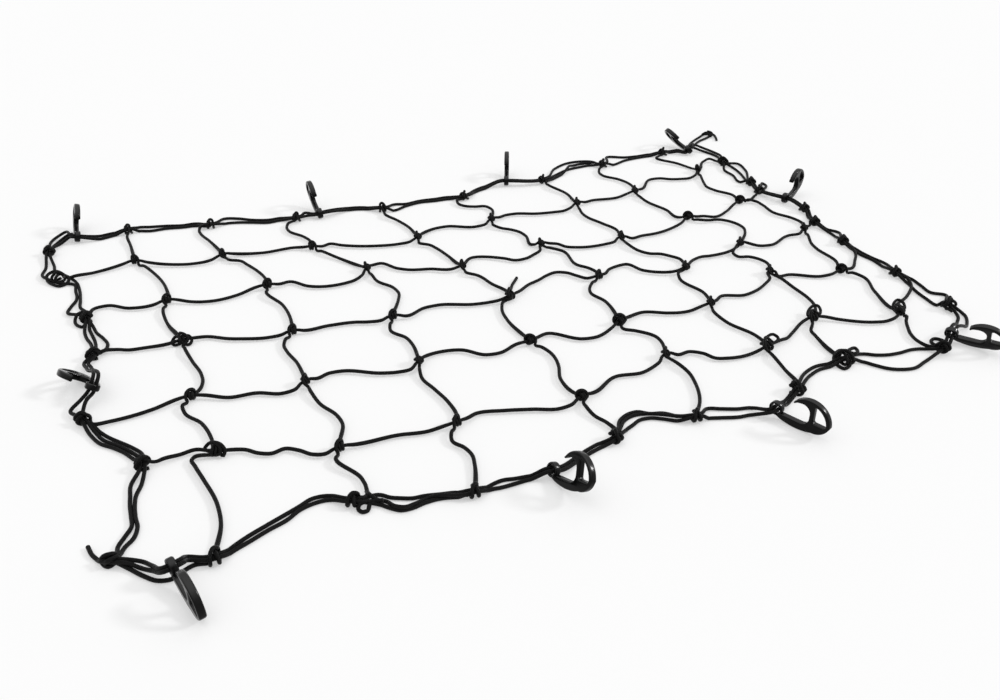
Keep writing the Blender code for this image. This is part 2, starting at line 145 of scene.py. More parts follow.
# The strands' ends in the corner: the outer one's turns, the inner one's tuck and the loose tail.
corner_turn = [
    (-449, -259, 4), (-452, -263, 8.5), (-457, -263, 8.5), (-460, -262, 5), (-459, -265, 2),
    (-456, -268), (-451, -266, 2.2),
]
corner_tuck = [(-447, -261, 4), (-451, -267, 7.5), (-455, -269, 8), (-458, -267, 5)]
corner_tail = [(-468, -240), (-466, -250), (-462, -259, 2)]


def unit(v):
    return v / np.linalg.norm(v)


def flat(x, y, z=lying, share=1.0):
    """A point of a cord's route: place, height and share of its full thickness."""
    return np.array([x, y, z, share], float)


def through(points):
    """Smooth line through the points of a route, with steps short enough for the knots."""
    longest_step = 2.4
    p = np.array(points, float)
    lengths = np.linalg.norm(np.diff(p[:, :3], axis=0), axis=1)
    rise = np.diff(p, axis=0) / lengths[:, None]
    slope = np.empty_like(p)
    slope[0], slope[-1] = rise[0], rise[-1]
    before, after = lengths[:-1, None], lengths[1:, None]
    slope[1:-1] = (rise[:-1] * after + rise[1:] * before) / (before + after)
    line = []
    for i, length in enumerate(lengths):
        steps = max(3, math.ceil(length / longest_step))
        for s in np.arange(steps) / steps:
            bend = slope[i] * (s**3 - 2 * s**2 + s) + slope[i + 1] * (s**3 - s**2)
            line.append(p[i] * (2 * s**3 - 3 * s**2 + 1) + p[i + 1] * (3 * s**2 - 2 * s**3)
                        + length * bend)
    line.append(p[-1])
    line = np.array(line)
    line[:, 2] = np.maximum(line[:, 2], lying * line[:, 3])
    return line


def new_material(name):
    """A material with its node tree and its surface shader."""
    made = bpy.data.materials.new(name)
    made.use_nodes = True
    return made, made.node_tree, made.node_tree.nodes["Principled BSDF"]


def added(tree, kind, **values):
    """A new node in a tree, with values for its inputs by their names."""
    node = tree.nodes.new(kind)
    for name, value in values.items():
        node.inputs[name.replace("_", " ")].default_value = value
    return node


def maths(tree, kind, a, b=None):
    """What a maths node makes of one or two numbers or outputs."""
    node = tree.nodes.new("ShaderNodeMath")
    node.operation = kind
    for socket, value in zip(node.inputs, (a, b)):
        if isinstance(value, (int, float)):
            socket.default_value = value
        elif value is not None:
            tree.links.new(value, socket)
    return node.outputs[0]


def tints(tree, *stops):
    """A ramp between two colours, each with its place on the ramp."""
    ramp = tree.nodes.new("ShaderNodeValToRGB")
    for element, (place, colour) in zip(ramp.color_ramp.elements, stops):
        element.position = place
        element.color = (*colour, 1.0)
    return ramp


def woven_sheath():
    """Black sheath of two sets of yarn that cross over and under each other round the cord."""
    made, tree, surface = new_material("woven_sheath")
    yarns_round, yarn_pitch = 8, 3600.0
    crown_shade_share, dust_share, dust_least = 0.62, 0.7, 0.3
    least_rough, dust_rough, fibre_relief = 0.34, 0.2, 0.35

    place = tree.nodes.new("ShaderNodeAttribute")
    place.attribute_name = "braid"
    part = tree.nodes.new("ShaderNodeSeparateXYZ")
    tree.links.new(place.outputs["Vector"], part.inputs[0])
    turn = maths(tree, "ARCTAN2", part.outputs[1], part.outputs[0])
    turn = maths(tree, "MULTIPLY", turn, yarns_round / math.pi)
    run = maths(tree, "MULTIPLY", part.outputs[2], yarn_pitch / math.pi)
    ways = [maths(tree, "ADD", turn, run), maths(tree, "SUBTRACT", turn, run)]
    yarns = [maths(tree, "FLOOR", way) for way in ways]
    over = maths(tree, "ABSOLUTE", maths(tree, "MODULO", maths(tree, "ADD", *yarns), 2.0))
    under = maths(tree, "SUBTRACT", 1.0, over)
    crowns = [maths(tree, "MULTIPLY", maths(tree, "FRACT", way), math.pi) for way in ways]
    crowns = [maths(tree, "MULTIPLY", maths(tree, "SINE", crown), shown)
              for crown, shown in zip(crowns, (over, under))]
    height = maths(tree, "ADD", *crowns)

    fibre = added(tree, "ShaderNodeTexNoise", Scale=4200.0, Detail=2.0)
    dust = added(tree, "ShaderNodeTexNoise", Scale=55.0, Detail=4.0)
    where = tree.nodes.new("ShaderNodeTexCoord")
    for noise in (fibre, dust):
        tree.links.new(where.outputs["Object"], noise.inputs["Vector"])

    # Colour: painted shade darkens the crevices between the yarns' crowns and lightens the crowns,
    # with random dust patches over it.
    tint = tints(tree, (0.1, (0.0008, 0.0008, 0.0009)), (0.95, (0.0075, 0.0073, 0.0072)))
    dusty = maths(tree, "SUBTRACT", dust.outputs["Fac"], dust_least)
    dusty = maths(tree, "MULTIPLY", dusty, dust_share)
    crown_shade_and_dust = maths(tree, "ADD", maths(tree, "MULTIPLY", height, crown_shade_share), dusty)
    tree.links.new(crown_shade_and_dust, tint.inputs["Fac"])
    tree.links.new(tint.outputs["Color"], surface.inputs["Base Color"])
    rough = maths(tree, "MULTIPLY", dust.outputs["Fac"], dust_rough)
    rough = maths(tree, "ADD", rough, least_rough)
    tree.links.new(rough, surface.inputs["Roughness"])
    surface.inputs["Specular IOR Level"].default_value = 0.1
    surface.inputs["Sheen Weight"].default_value = 0.012
    surface.inputs["Sheen Roughness"].default_value = 0.4

    bump = added(tree, "ShaderNodeBump", Strength=0.7, Distance=0.00016)
    fuzz = maths(tree, "MULTIPLY", fibre.outputs["Fac"], fibre_relief)
    relief = maths(tree, "ADD", height, fuzz)
    tree.links.new(relief, bump.inputs["Height"])
    tree.links.new(bump.outputs["Normal"], surface.inputs["Normal"])
    return made


def rubber_core():
    """Cut end of a cord: dark rubber threads, packed side by side."""
    made, tree, surface = new_material("rubber_core")
    threads = added(tree, "ShaderNodeTexVoronoi", Scale=1900.0)
    where = tree.nodes.new("ShaderNodeTexCoord")
    tint = tints(tree, (0.0, (0.055, 0.052, 0.048)), (1.0, (0.012, 0.012, 0.012)))
    bump = added(tree, "ShaderNodeBump", Strength=0.6, Distance=0.0001)
    tree.links.new(where.outputs["Object"], threads.inputs["Vector"])
    tree.links.new(threads.outputs["Distance"], tint.inputs["Fac"])
    tree.links.new(tint.outputs["Color"], surface.inputs["Base Color"])
    tree.links.new(threads.outputs["Distance"], bump.inputs["Height"])
    tree.links.new(bump.outputs["Normal"], surface.inputs["Normal"])
    surface.inputs["Roughness"].default_value = 0.7
    return made


sheath, core = woven_sheath(), rubber_core()


def make_cord(name, route, replaced=None):
    """A round cord along its route, cut square at both ends, riding with the net."""
    sides, crease = 12, math.radians(60)
    bevel_long, bevel_wide = 0.16, 0.86     # of a cut end, as shares of the cord's radius
    bevel_run = 0.0003                      # and the length of sheath on it, in metres
    line = through(route)
    centre = (line[:, :3] + middle) * MM
    radius = line[:, 3] * cord_thick / 2 * MM
    way = np.gradient(centre, axis=0)
    way /= np.linalg.norm(way, axis=1)[:, None]
    length = np.concatenate([[0.0], np.cumsum(np.linalg.norm(np.diff(centre, axis=0), axis=1))])
    for end, sign in ((0, -1), (-1, 1)):
        rim = centre[end] + way[end] * sign * radius[end] * bevel_long
        at = 0 if end == 0 else len(centre)
        centre = np.insert(centre, at, rim, axis=0)
        way = np.insert(way, at, way[end], axis=0)
        radius = np.insert(radius, at, radius[end] * bevel_wide)
        length = np.insert(length, at, length[end] + sign * bevel_run)
    turn = 2 * math.pi * np.arange(sides) / sides
    cos, sin = np.cos(turn), np.sin(turn)
    side = unit(np.cross(way[0], (0.0, 0.0, 1.0)))
    rings = []
    for c, w, r in zip(centre, way, radius):
        side = unit(side - w * np.dot(side, w))
        up = np.cross(side, w)
        rings.append(c + r * (np.outer(cos, side) + np.outer(sin, up)))
    count = len(rings)
    corners = np.arange(count * sides).reshape(count, sides)
    beside = np.roll(corners, -1, axis=1)
    faces = np.stack([corners[:-1], corners[1:], beside[1:], beside[:-1]], axis=2).reshape(-1, 4)
    faces = faces.tolist() + [corners[0].tolist(), corners[-1][::-1].tolist()]
    mesh = bpy.data.meshes.new(name)
    mesh.from_pydata(np.concatenate(rings).tolist(), [], faces)
    mesh.materials.append(sheath)
    mesh.materials.append(core)
    for end in (-2, -1):
        mesh.polygons[len(faces) + end].material_index = 1
    mesh.shade_smooth()
    mesh.set_sharp_from_angle(angle=crease)
    braid = mesh.attributes.new("braid", "FLOAT_VECTOR", "POINT")
    wrap = np.stack([np.tile(cos, count), np.tile(sin, count), np.repeat(length, sides)], axis=1)
    braid.data.foreach_set("vector", wrap.astype(np.float32).ravel())
    piece = placed(name, mesh)
    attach(piece, "net")
    if replaced:
        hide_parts(replaced)


# Middle of the pair at every entry, then the two strands on either side of it.
hinge = {joint["child"].removeprefix("hook_"): joint for joint in frame["joints"]}
between = []
for entry in border:
    if entry[0] == "eye":
        between.append(np.array(hinge[entry[1]]["pos_m"]) / MM - middle)
    elif isinstance(entry[0], str):
        between.append(np.array([*entry[1:], knotted_high]))
    else:
        high = entry[4] if len(entry) > 4 else lying
        between.append(np.array([(entry[0] + entry[2]) / 2, (entry[1] + entry[3]) / 2, high]))
station = {}
strands = {"outer": [], "inner": []}
for i, entry in enumerate(border):
    here, ahead = between[i], between[(i + 1) % len(border)] - between[i - 1]
    along = unit(ahead * (1, 1, 0))
    out = np.array([along[1], -along[0], 0.0])
    if entry[0] == "eye":
        along = -np.array(hinge[entry[1]]["axis"])
        apart = eye_apart
    elif isinstance(entry[0], str):
        if entry[0].startswith("corner"):
            along = unit((between[1] - between[0]) * (1, 1, 0))
        station[entry[0]] = (here, along)
        apart = strand_apart / 2
    else:
        outer, inner = np.array(entry[:2], float), np.array(entry[2:4], float)
        wide = max(np.linalg.norm(outer - inner), strand_apart)
        away = unit(outer - inner) * wide / 2
        strands["outer"].append(flat(*(here[:2] + away), here[2]))
        strands["inner"].append(flat(*(here[:2] - away), here[2]))
        continue
    out = unit(out - along * np.dot(out, along))
    for name, sign in (("outer", 1), ("inner", -1)):
        for run in (-knot_half, knot_half):
            strands[name].append(flat(*(here + out * sign * apart + along * run)))
# The first row's hitch sits on a bend of the strands, so its place and direction are given.
station["left 1"] = (np.array([-463.0, 222.0, knotted_high]), unit(np.array([0.55, -0.83, 0.0])))

make_cord("border_strand_outer",
          [flat(*p) for p in corner_tail] + strands["outer"] + [flat(*p) for p in corner_turn],
          "border_cord_outer")
make_cord("border_strand_inner", strands["inner"] + [flat(*p) for p in corner_tuck],
          "border_cord_inner")

# Rows: five lengths of the same cord from the left border to the right one, hitched to it at both
# ends.  They lie slack between the knots and bend a little inside each of them.
knots = [                # row by row from the rear, each from the left
    [(-381, 234), (-287, 210), (-187, 189), (-65, 165), (36, 178), (156, 180), (244, 185),
     (362, 216)],
    [(-361, 123), (-256, 115), (-145, 111), (-45, 73), (61, 89), (157, 68), (262, 86), (351, 102)],
    [(-359, 32), (-255, 6), (-153, -5), (-25, -14), (84, -11), (184, -31), (277, -3), (372, 0)],
    [(-367, -72), (-266, -89), (-158, -98), (-45, -107), (55, -108), (162, -113), (264, -77),
     (339, -107)],
    [(-361, -164), (-265, -200), (-162, -206), (-44, -214), (64, -182), (161, -210), (240, -181),
     (330, -208)],
]
row_slack = [            # runs of each row, from border to knot, knot to knot and knot to border
    [[(-450, 220), (-426, 224), (-392, 232)],
     [(-370, 226), (-337, 207), (-325, 203), (-300, 202)],
     [(-279, 210), (-244, 199), (-207, 198), (-194, 192)],
     [(-177, 186), (-165, 191), (-154, 182), (-118, 164), (-91, 158), (-79, 156)],
     [(-60, 170), (-36, 182), (-23, 182), (11, 167), (22, 166)],
     [(45, 179), (58, 184), (71, 183), (94, 173), (118, 168), (131, 167), (142, 170)],
     [(165, 179), (179, 182), (217, 178), (228, 180)],
     [(253, 187), (287, 214), (299, 212), (310, 204), (323, 199), (337, 197), (347, 200)],
     [(367, 220), (388, 242), (400, 245)]],
    [[(-438, 124), (-432, 137), (-420, 138), (-399, 123), (-373, 119)],
     [(-350, 119), (-340, 113), (-316, 104), (-290, 107), (-267, 115)],
     [(-245, 112), (-232, 115), (-215, 96), (-204, 90), (-191, 87), (-178, 87), (-165, 90),
      (-155, 96)],
     [(-138, 115), (-127, 118), (-113, 98), (-103, 90), (-80, 82), (-58, 70)],
     [(-40, 77), (-29, 89), (7, 73), (16, 64), (29, 63), (41, 68), (52, 73)],
     [(69, 88), (80, 83), (86, 72), (96, 66), (131, 60), (142, 59)],
     [(165, 61), (183, 63), (202, 62), (226, 67), (247, 75)],
     [(270, 84), (283, 82), (293, 75), (317, 83), (336, 95)],
     [(359, 100), (378, 108)]],
    [[(-433, 41), (-421, 42), (-409, 36), (-395, 34), (-369, 31)],
     [(-348, 32), (-337, 32), (-315, 18), (-304, 13), (-279, 5), (-267, 3)],
     [(-245, 3), (-219, 4), (-192, 0), (-179, -5), (-166, -9)],
     [(-142, -10), (-116, 0), (-103, 0), (-65, -14), (-52, -16), (-39, -18)],
     [(-13, -9), (6, 4), (20, 9), (32, 15), (45, 18), (56, 12), (63, 1), (70, -11)],
     [(92, -9), (104, 1), (115, 4), (127, 4), (137, -17), (146, -25), (168, -35)],
     [(191, -26), (203, -17), (215, -14), (227, -16), (262, -13)],
     [(285, -7), (294, -16), (306, -20), (345, -7), (357, -10)],
     []],
    [[(-450, -83), (-438, -82), (-401, -78), (-378, -72)],
     [(-356, -75), (-336, -86), (-311, -89), (-289, -99), (-278, -99)],
     [(-256, -89), (-242, -83), (-231, -84), (-196, -103), (-183, -107), (-170, -109)],
     [(-151, -93), (-139, -89), (-113, -94), (-94, -112), (-81, -114), (-58, -107)],
     [(-36, -104), (-24, -99), (6, -123), (19, -125), (41, -117)],
     [(63, -105), (88, -100), (111, -112), (122, -116), (135, -117), (146, -116)],
     [(169, -111), (182, -103), (206, -111), (219, -109), (243, -98), (253, -92)],
     [(265, -91), (279, -91), (312, -109), (322, -111)],
     [(348, -108), (371, -92), (387, -72), (389, -62)]],
    [[(-403, -157), (-389, -155), (-376, -155)],
     [(-349, -167), (-338, -170), (-329, -179), (-319, -184), (-307, -182), (-297, -189),
      (-288, -199), (-278, -204)],
     [(-254, -201), (-214, -202), (-188, -207), (-175, -207)],
     [(-152, -204), (-141, -199), (-116, -205), (-93, -213), (-69, -222), (-58, -222)],
     [(-35, -213), (2, -196), (28, -200), (41, -196), (51, -192)],
     [(73, -187), (89, -186), (99, -194), (105, -206), (116, -211), (143, -213), (149, -213)],
     [(182, -205), (191, -203), (202, -197), (228, -183)],
     [(251, -184), (263, -193), (294, -213), (306, -216), (316, -216)],
     [(332, -201), (344, -191), (357, -186), (369, -179), (389, -160), (392, -150)]],
]
knot_high = 4.9          # height of a row in a knot, with the column's turn under it
leaving_high = 4.4       # height of a run where it comes off a knot
slack_high = 3.2         # height of a run between knots: the springy cord stays off the floor

# Turns of a mesh cord's end round both strands: along the border, inward and up from the middle
# of the pair, from the top of the first turn to the end, tucked under the pair.
clove_hitch = [
    (0.0, 5.4, 1.0), (-0.6, 2.0, 3.4), (-1.6, -2.4, 3.2), (-2.2, -5.3, 0.0), (-2.6, -2.4, -3.3),
    (-3.2, 2.4, -3.3), (-3.6, 5.4, 0.4), (-2.6, 3.0, 4.4), (-0.2, 0.6, 6.2), (2.2, -2.4, 4.2),
    (3.0, -5.3, 0.2), (3.0, -2.4, -3.3), (3.0, 1.6, -3.4), (3.1, 4.2, -2.9),
]
usual_hitch = 1.05       # size of the turns; a few hitches are bulkier
bulky_hitch = {"left 1": 1.15, "front 1": 1.2, "front 6": 1.25, "front 7": 1.4,
               "tie front right": 1.3}
hitch_reach, hitch_share = 10.5, 0.8    # where the cord comes in, at most a share of its way
hitch_low = 3.6          # and its height there


def wound(turns, here, along, across, size):
    """Points of a cord's turns, given along, across and up from the middle of a knot."""
    points = []
    for a, n, z in turns:
        at = here + (along * a + across * n + np.array([0.0, 0.0, z])) * size
        points.append(flat(*at, pressed))
    return points


def hitch(name, source):
    """Points of the turns about the border at a knot, for a cord that comes from the source."""
    here, along = station[name]
    size = bulky_hitch.get(name, usual_hitch)
    inward = np.array([-along[1], along[0], 0.0])
    coming = np.array([*source[:2], here[2]]) - here
    hand = 1 if np.dot(coming, along) < 0 else -1
    reach = min(hitch_reach * size, hitch_share * np.linalg.norm(coming))
    first = flat(*(here + unit(coming) * reach)[:2], hitch_low, pressed)
    return [first] + wound(clove_hitch, here, along * hand, inward, size)


def slack_run(places, high_ends):
    """Points of a run between two knots: it comes off them high and sags between them."""
    points = [flat(x, y, slack_high) for x, y in places]
    for end in high_ends if places else ():
        points[end][2] = leaving_high
    return points


crossing = [[] for row in knots]
for row, slack in enumerate(row_slack):
    left = hitch(f"left {row + 1}", slack[0][0])
    right = hitch(f"right {row + 1}", (slack[-1] or knots[row])[-1])
    stops = [left[0]]
    for stretch, knot in zip(slack, knots[row] + [None]):
        stops += slack_run(stretch, (0, -1))
        if knot:
            stops.append(flat(*knot, knot_high, pressed))
    stops.append(right[0])
    route = list(reversed(left[1:]))
    for i, here in enumerate(stops):
        if here[3] < 1.0 and 0 < i < len(stops) - 1:
            along = unit(np.array([*(stops[i + 1] - stops[i - 1])[:2], 0.0]))
            crossing[row].append((here[:3], along))
            before, after = here - stops[i - 1], stops[i + 1] - here
            for run, beside in ((-knot_half, before), (knot_half, after)):
                bend = unit(along + unit(beside[:3] * (1, 1, 0)))
                route.append(flat(*(here[:3] + bend * run), pressed))
        else:
            route.append(here)
    make_cord(f"row_{row + 1}", route + right[1:], f"row_cord_{row + 1}")

# Columns: eight lengths of the same cord from the rear border to the front one.  Each takes two
# turns round every row and crosses over them there, which makes the knots of the mesh.
column_slack = [         # runs of each column in the same way, from the rear
    [[(-382, 305), (-381, 282), (-381, 243)],
     [(-373, 216), (-365, 195), (-358, 156), (-359, 131)],
     [(-367, 106), (-368, 80), (-360, 40)],
     [(-359, 15), (-356, -10), (-352, -37), (-353, -51), (-359, -64)],
     [(-376, -84), (-376, -95), (-365, -117), (-362, -131), (-361, -144)],
     [(-372, -165), (-378, -163), (-381, -166), (-380, -176), (-377, -194), (-372, -233),
      (-374, -258), (-382, -282)]],
    [[(-295, 300), (-300, 292), (-300, 280), (-294, 256), (-287, 219)],
     [(-282, 193), (-271, 188), (-266, 176), (-255, 138), (-254, 125)],
     [(-261, 99), (-251, 65), (-250, 40), (-253, 16)],
     [(-265, -7), (-269, -16), (-269, -28), (-265, -53), (-265, -78)],
     [(-266, -106), (-263, -129), (-254, -153), (-253, -166), (-262, -190)],
     [(-272, -213), (-260, -246), (-260, -258), (-264, -269)]],
    [[(-196, 267), (-201, 258), (-201, 245), (-189, 223), (-185, 210), (-186, 197)],
     [(-180, 173), (-168, 153), (-149, 120)],
     [(-145, 92), (-144, 80), (-132, 55), (-131, 41), (-136, 28), (-149, 4)],
     [(-161, -20), (-164, -29), (-154, -52), (-153, -64), (-156, -89)],
     [(-163, -114), (-165, -124), (-161, -148), (-157, -172), (-158, -196)],
     [(-171, -217), (-175, -229), (-169, -241), (-167, -253), (-170, -266), (-180, -291)]],
    [[(-80, 244), (-71, 223), (-65, 199), (-64, 174)],
     [(-69, 148), (-59, 141), (-55, 130), (-50, 106), (-46, 81)],
     [(-47, 55), (-38, 47), (-31, 21), (-23, -3)],
     [(-38, -24), (-43, -33), (-48, -59), (-45, -97)],
     [(-40, -122), (-36, -132), (-36, -144), (-39, -157), (-48, -180), (-47, -204)],
     [(-48, -230), (-47, -244), (-42, -258), (-41, -273)]],
    [[(20, 251), (17, 242), (22, 231), (33, 224), (45, 220), (49, 209), (40, 186)],
     [(31, 160), (37, 151), (46, 142), (53, 131), (55, 119), (53, 93)],
     [(66, 75), (76, 65), (76, 24), (84, 12), (87, 0)],
     [(70, -22), (63, -29), (58, -40), (63, -63), (58, -99)],
     [(51, -124), (61, -130), (74, -150), (73, -161), (69, -172)],
     [(65, -198), (67, -220), (64, -232), (48, -265), (40, -274)]],
    [[(149, 248), (159, 214), (157, 189)],
     [(150, 162), (148, 151), (148, 139), (156, 114), (163, 89), (160, 77)],
     [(154, 50), (159, 27), (166, 17), (177, 11), (184, 2), (190, -9), (188, -21)],
     [(169, -39), (164, -49), (169, -91), (166, -105)],
     [(154, -130), (155, -152), (166, -187), (166, -199)],
     [(157, -225), (153, -250), (148, -276)]],
    [[(239, 273), (234, 265), (233, 252), (246, 231), (250, 219), (251, 206), (248, 194)],
     [(240, 166), (241, 155), (250, 117), (253, 91)],
     [(268, 74), (281, 69), (293, 66), (307, 45), (307, 32), (301, 21), (283, 3)],
     [(262, -13), (255, -20), (255, -31), (266, -36), (273, -46), (275, -58), (270, -69)],
     [(264, -93), (265, -118), (264, -144), (261, -157)],
     [(229, -194), (223, -200), (220, -211), (216, -249)]],
    [[(333, 278), (350, 251)],
     [(353, 196), (344, 174), (340, 161), (343, 147), (355, 123), (353, 110)],
     [(359, 100), (370, 95), (371, 82), (369, 56), (380, 32), (382, 19), (378, 7)],
     [(364, -17), (354, -37), (351, -49), (349, -87), (343, -98)],
     [(345, -117), (351, -126), (339, -161), (330, -198)],
     [(330, -217), (324, -224), (316, -235), (309, -247), (306, -260), (310, -273)]],
]
# A knot's turns: along the row, back and up from the row's middle, from the arrival at the back
# twice round the row, then over both turns and out to the front.
tight_knot = [
    (1.7, 4.2, 0.8), (1.6, 1.8, 3.1), (1.4, -1.4, 3.1), (1.0, -3.5, 0.3), (0.4, -2.0, -2.7),
    (-0.4, 1.2, -3.2), (-1.2, 3.4, -0.9), (-1.5, 2.2, 2.6), (-1.6, -0.6, 3.4), (-1.9, -3.5, 0.8),
    (-2.4, -2.2, -2.5), (-3.4, 1.0, -3.2), (-4.3, 3.8, -1.0), (-4.4, 4.6, 2.4), (-2.6, 3.6, 5.7),
    (0.6, 1.4, 6.7), (3.8, -1.0, 5.0), (5.2, -3.8, 1.4),
]
# Slack knots: the second turn runs out into an open bight on its way to the crossing.
slack_turn = [
    (1.7, 4.0, 1.2), (1.6, 0.0, 3.4), (1.0, -3.6, 0.6), (0.2, -1.6, -3.0), (-0.8, 2.0, -3.0),
    (-1.5, 3.6, 0.4), (-1.7, 0.0, 3.4), (-2.2, -3.8, 0.8), (-2.8, -2.0, -2.8), (-3.2, 1.0, -3.2),
]
slack_cross = [(-0.5, 2.6, 6.2), (3.6, -0.4, 4.8), (5.0, -3.8, 1.2)]
bights = {               # by row and column, counted from 0, like the odd knots below
    (2, 0): [(-361, 29, 3), (-366, 29, 2), (-368, 38, 2), (-365, 41, 4), (-359, 35, 7),
             (-352, 34, 7), (-350, 31, 4), (-354, 25, 2), (-358, 26, 3)],
    (4, 0): [(-366, -160, 3), (-369, -157, 4), (-365, -156, 8), (-361, -160, 11), (-356, -166, 11),
             (-354, -169, 7), (-356, -170, 2.5)],
    (4, 5): [(166, -201, 5), (173, -196, 6), (180, -195, 6), (183, -199, 4), (175, -205, 3)],
    (4, 6): [(238, -177, 4), (245, -169, 7), (250, -168, 9), (253, -170, 10), (252, -177, 9),
             (246, -183, 8)],
    (4, 7): [(328, -202, 4), (333, -195, 7), (340, -193, 9), (341, -199, 9), (338, -206, 6)],
}
tight_size, slack_size = 0.84, 1.05     # of the turns; a few knots are looser or tighter
odd_size = {(2, 3): 1.1, (3, 4): 1.0, (4, 3): 0.8, (4, 5): 1.3}
other_hand = {(3, 4), (4, 3)}           # knots that are tied the other way round
arrival, arrival_low = 6.5, 1.2         # a column's last point before a knot: away and below
parting, parting_low = 6.8, 1.9         # and its first point after the knot

for column, slack in enumerate(column_slack):
    rear = hitch(f"rear {column + 1}", slack[0][0])
    front = hitch(f"front {column + 1}", slack[-1][-1])
    route = list(reversed(rear))
    for row in range(len(knots)):
        here, along = crossing[row][column]
        route += slack_run(slack[row], (0,))
        coming = unit(np.array([*slack[row][-1], here[2]]) - here)
        leaving = unit(np.array([*slack[row + 1][0], here[2]]) - here)
        bight = [flat(*p, pressed) for p in bights.get((row, column), [])]
        hand = 1 if np.dot(leaving, along) > 0 else -1
        if bight:
            hand = 1 if np.dot(bight[1][:3] - here, along) < 0 else -1
        elif (row, column) in other_hand:
            hand = -hand
        along = along * hand
        back = unit((np.array([0.0, 1.0, 0.0]) - along * along[1]) * (1, 1, 0))
        size = odd_size.get((row, column), slack_size if bight else tight_size)
        route.append(flat(*(here + coming * arrival)[:2], here[2] - arrival_low, pressed))
        if bight:
            route += wound(slack_turn, here, along, back, size) + bight
            route += wound(slack_cross, here, along, back, size)
        else:
            route += wound(tight_knot, here, along, back, size)
        route.append(flat(*(here + leaving * parting)[:2], here[2] - parting_low, pressed))
    route += slack_run(slack[-1], (0,)) + front
    make_cord(f"column_{column + 1}", route, f"column_cord_{column + 1}")

# Links: where a cord of the mesh goes on along the border to its next run, it lies there as a
# third strand.  Spare bights, cut ends and extra ties of the same cord sit beside some knots.
links = {                # places, and heights where the cord is off the floor
    "front_left": [(-450, -269, 4.5), (-443, -276, 2.2), (-434, -288), (-425, -297), (-416, -299),
                   (-407, -294), (-399, -291), (-390, -293)],
    "front_2_3": [(-261, -262, 2.5), (-260, -273, 5.5), (-257, -276, 3.5), (-251, -279, 2),
                  (-246, -291, 4.4), (-240, -295, 4.8), (-231, -293, 3.6), (-219, -289, 2),
                  (-211, -292, 4.6), (-200, -297, 4.8), (-190, -301, 4.8)],
    "front_2_bight": [(-253, -280, 4.6), (-261, -277, 4), (-266, -277, 5), (-271, -277, 4),
                      (-273, -279, 2), (-271, -284), (-267, -284), (-264, -280, 4.2)],
    "front_4_5": [(-42, -277, 5), (-35, -269, 3.5), (-25, -259), (-16, -256), (-6, -257),
                  (1, -264, 4.6), (10, -270, 4.8), (19, -276, 4.8), (28, -280, 5)],
    "front_7_bight": [(219, -263, 6), (223, -254, 7), (233, -247, 5), (239, -246, 4),
                      (238, -251, 4), (228, -256, 6), (225, -249, 6), (221, -245, 5),
                      (213, -248, 4), (206, -256, 3), (205, -263, 2), (207, -269),
                      (214, -268, 2.5), (218, -265, 5)],
    "front_8_bight": [(323, -277, 5), (317, -271, 2.5), (320, -263), (327, -261), (330, -267, 2.5),
                      (326, -275, 5)],
    "right_1_2": [(410, 224, 5), (414, 212, 2.2), (412, 190), (404, 164, 2), (400, 152, 4.4)],
    "right_2_bight": [(392, 121, 5.5), (407, 134, 3.5), (416, 143, 2.5), (416, 136, 2.5),
                      (404, 123, 4), (390, 114, 6)],
    "rear_right_loop": [(396, 296, 4.5), (420, 319, 2.2), (440, 332), (458, 340, 2), (463, 336, 2),
                        (459, 331, 2), (448, 325), (433, 319), (414, 305, 2.2), (402, 292, 4.5)],
    "rear_right_end": [(452, 341, 2), (455, 336, 6.2), (458, 328, 2.4), (462, 331, 5.6),
                       (460, 339, 6.2), (464, 342, 3), (467, 334), (464, 324), (458, 312)],
    "rear_6_7": [(153, 262, 4.4), (169, 272), (185, 281), (195, 288, 4.6), (204, 297, 5.2),
                 (214, 304, 2.2), (229, 306), (244, 297, 4.6)],
    "rear_left": [(-468, 302, 5.2), (-465, 314, 2.6), (-455, 329, 3), (-446, 334, 6),
                  (-441, 331, 8)],
    "left_1_bight": [(-452, 217, 5), (-455, 211, 2.5), (-463, 208), (-470, 215), (-475, 227, 3),
                     (-474, 234, 5), (-467, 237, 7), (-460, 229, 8), (-457, 216, 8)],
    "left_2_bight": [(-443, 127, 7), (-449, 125, 6.5), (-453, 119, 3), (-452, 110), (-447, 104),
                     (-442, 107, 5)],
    "left_2_3": [(-440, 111, 5), (-437, 99, 2), (-435, 86), (-430, 72), (-427, 57),
                 (-430, 47, 2.5), (-437, 40, 5)],
    "left_4_5": [(-453, -79, 4.5), (-447, -93), (-441, -104), (-433, -115), (-425, -126),
                 (-418, -139, 2.2), (-417, -151, 4.8)],
    "cut_end": [(-33, -17, 3.4), (-29, -21, 4.6), (-24, -17, 6.6), (-24, -11, 7.2), (-21, -4, 4.4),
                (-16, 4, 2), (-11, 12), (-5, 19), (1, 26)],
}
ties = {"rear left": (-471, 270), "rear right": (395, 130), "right": (404, 30),
        "front right": (375, -240)}
for name, places in links.items():
    make_cord(f"link_{name}", [flat(*place) for place in places])
for name, beside in ties.items():
    make_cord(f"tie_{name.replace(' ', '_')}", hitch(f"tie {name}", beside))

